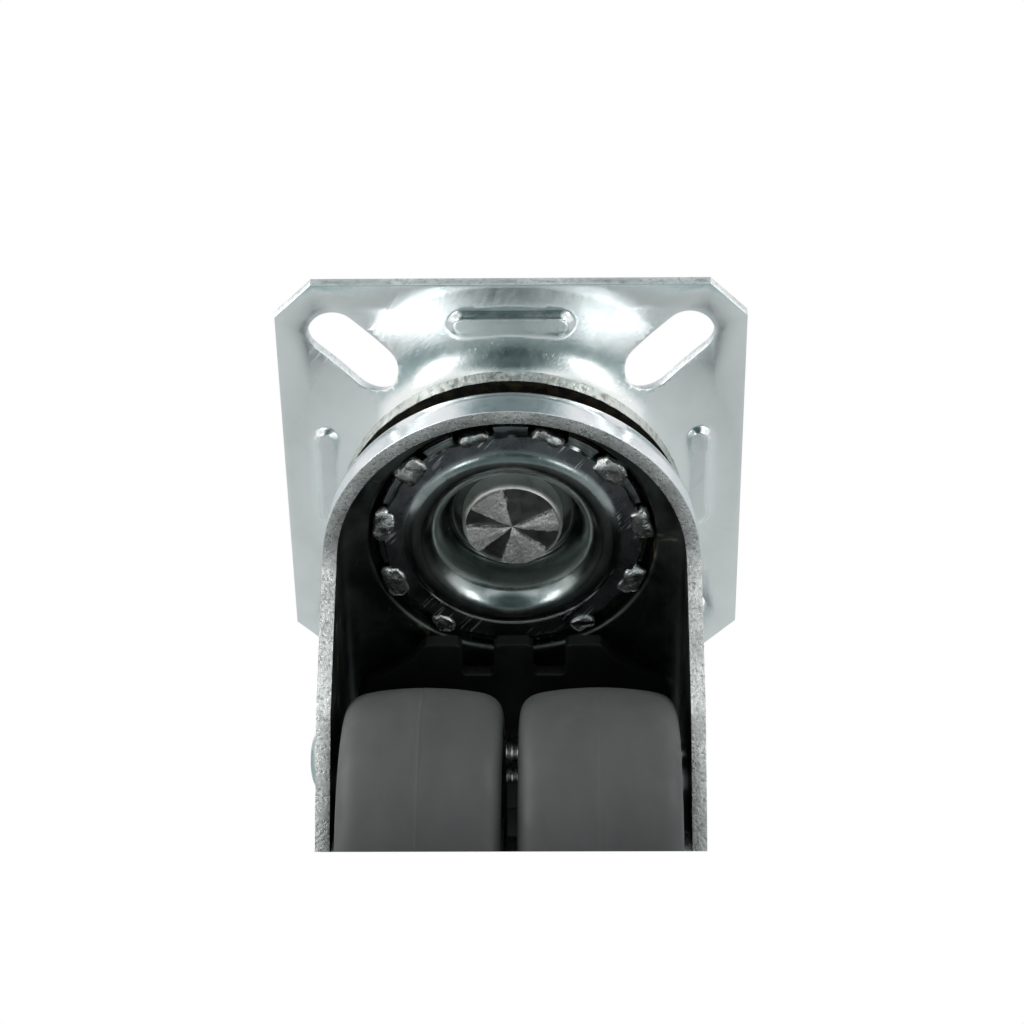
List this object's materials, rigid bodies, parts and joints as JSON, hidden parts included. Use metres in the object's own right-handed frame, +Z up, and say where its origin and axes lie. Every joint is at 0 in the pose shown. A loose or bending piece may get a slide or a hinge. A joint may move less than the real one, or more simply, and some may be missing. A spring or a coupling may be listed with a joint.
{
  "type": "plate-mounted twin-wheel swivel caster with total-lock brake",
  "caption": "Zinc-plated plate-mount swivel caster with a folded fork, twin grey rubber wheels and a black toothed foot brake.",
  "frame": {"origin": "centre of the top plate's upper face, on the swivel axis", "axes": "+Z up out of the plate's mounting face, X along the wheel axle, +Y the way the wheels trail"},
  "size_m": [0.06, 0.0886, 0.075],
  "materials": {
    "zinc_plate": "bright zinc plating, satin",
    "race_steel": "zinc-plated, rough sheared rim",
    "pin_steel": "peened bare steel",
    "cup_steel": "dark oiled zinc plating",
    "ball_steel": "polished hardened steel",
    "fork_zinc": "bright zinc plating, satin",
    "bolt_steel": "zinc-plated fastener",
    "spring_steel": "drawn spring wire",
    "tyre_rubber": "matte grey elastomer",
    "core_plastic": "moulded polypropylene",
    "bush_plastic": "natural nylon",
    "brake_black": "matte black",
    "shoe_black": "matte black rubber"
  },
  "bodies": {
    "plate_body": {"top_plate": "zinc_plate", "upper_race": "race_steel", "kingpin": "pin_steel", "lower_race_cup": "cup_steel", "lock_ring": "cup_steel"},
    "upper_row": {"upper_balls": "ball_steel"},
    "lower_row": {"lower_balls": "ball_steel"},
    "fork_body": {"fork": "fork_zinc", "axle_bolt": "bolt_steel", "axle_nut": "bolt_steel", "axle_sleeve": "bolt_steel", "centre_spacer": "core_plastic", "thrust_washers": "bolt_steel", "brake_pin": "bolt_steel", "brake_spring": "spring_steel"},
    "left_wheel": {"left_tyre": "tyre_rubber", "left_core": "core_plastic", "left_bushing": "bush_plastic"},
    "right_wheel": {"right_tyre": "tyre_rubber", "right_core": "core_plastic", "right_bushing": "bush_plastic"},
    "brake": {"brake_lever": "brake_black", "brake_shoe": "shoe_black", "pedal_pad": "shoe_black"}
  },
  "joints": [
    {"name": "swivel", "type": "hinge", "parent": "plate_body", "child": "fork_body", "pos_m": [0, 0, 0], "axis": [0, 0, 1], "continuous": true},
    {"name": "upper_row_orbit", "type": "hinge", "parent": "plate_body", "child": "upper_row", "pos_m": [0, 0, 0], "axis": [0, 0, 1], "continuous": true},
    {"name": "lower_row_orbit", "type": "hinge", "parent": "plate_body", "child": "lower_row", "pos_m": [0, 0, 0], "axis": [0, 0, 1], "continuous": true},
    {"name": "left_wheel_spin", "type": "hinge", "parent": "fork_body", "child": "left_wheel", "pos_m": [0, 0.028, -0.05], "axis": [1, 0, 0], "continuous": true},
    {"name": "right_wheel_spin", "type": "hinge", "parent": "fork_body", "child": "right_wheel", "pos_m": [0, 0.028, -0.05], "axis": [1, 0, 0], "continuous": true},
    {"name": "brake_press", "type": "hinge", "parent": "fork_body", "child": "brake", "pos_m": [0, 0.033, -0.021], "axis": [-1, 0, 0], "range_deg": [0, 4], "stiffness_Nm_per_rad": 0.1, "springref_deg": -17.19}
  ],
  "couplings": [
    {"joint": "upper_row_orbit", "follows": "swivel", "ratio": 0.5},
    {"joint": "lower_row_orbit", "follows": "swivel", "ratio": 0.5}
  ]
}
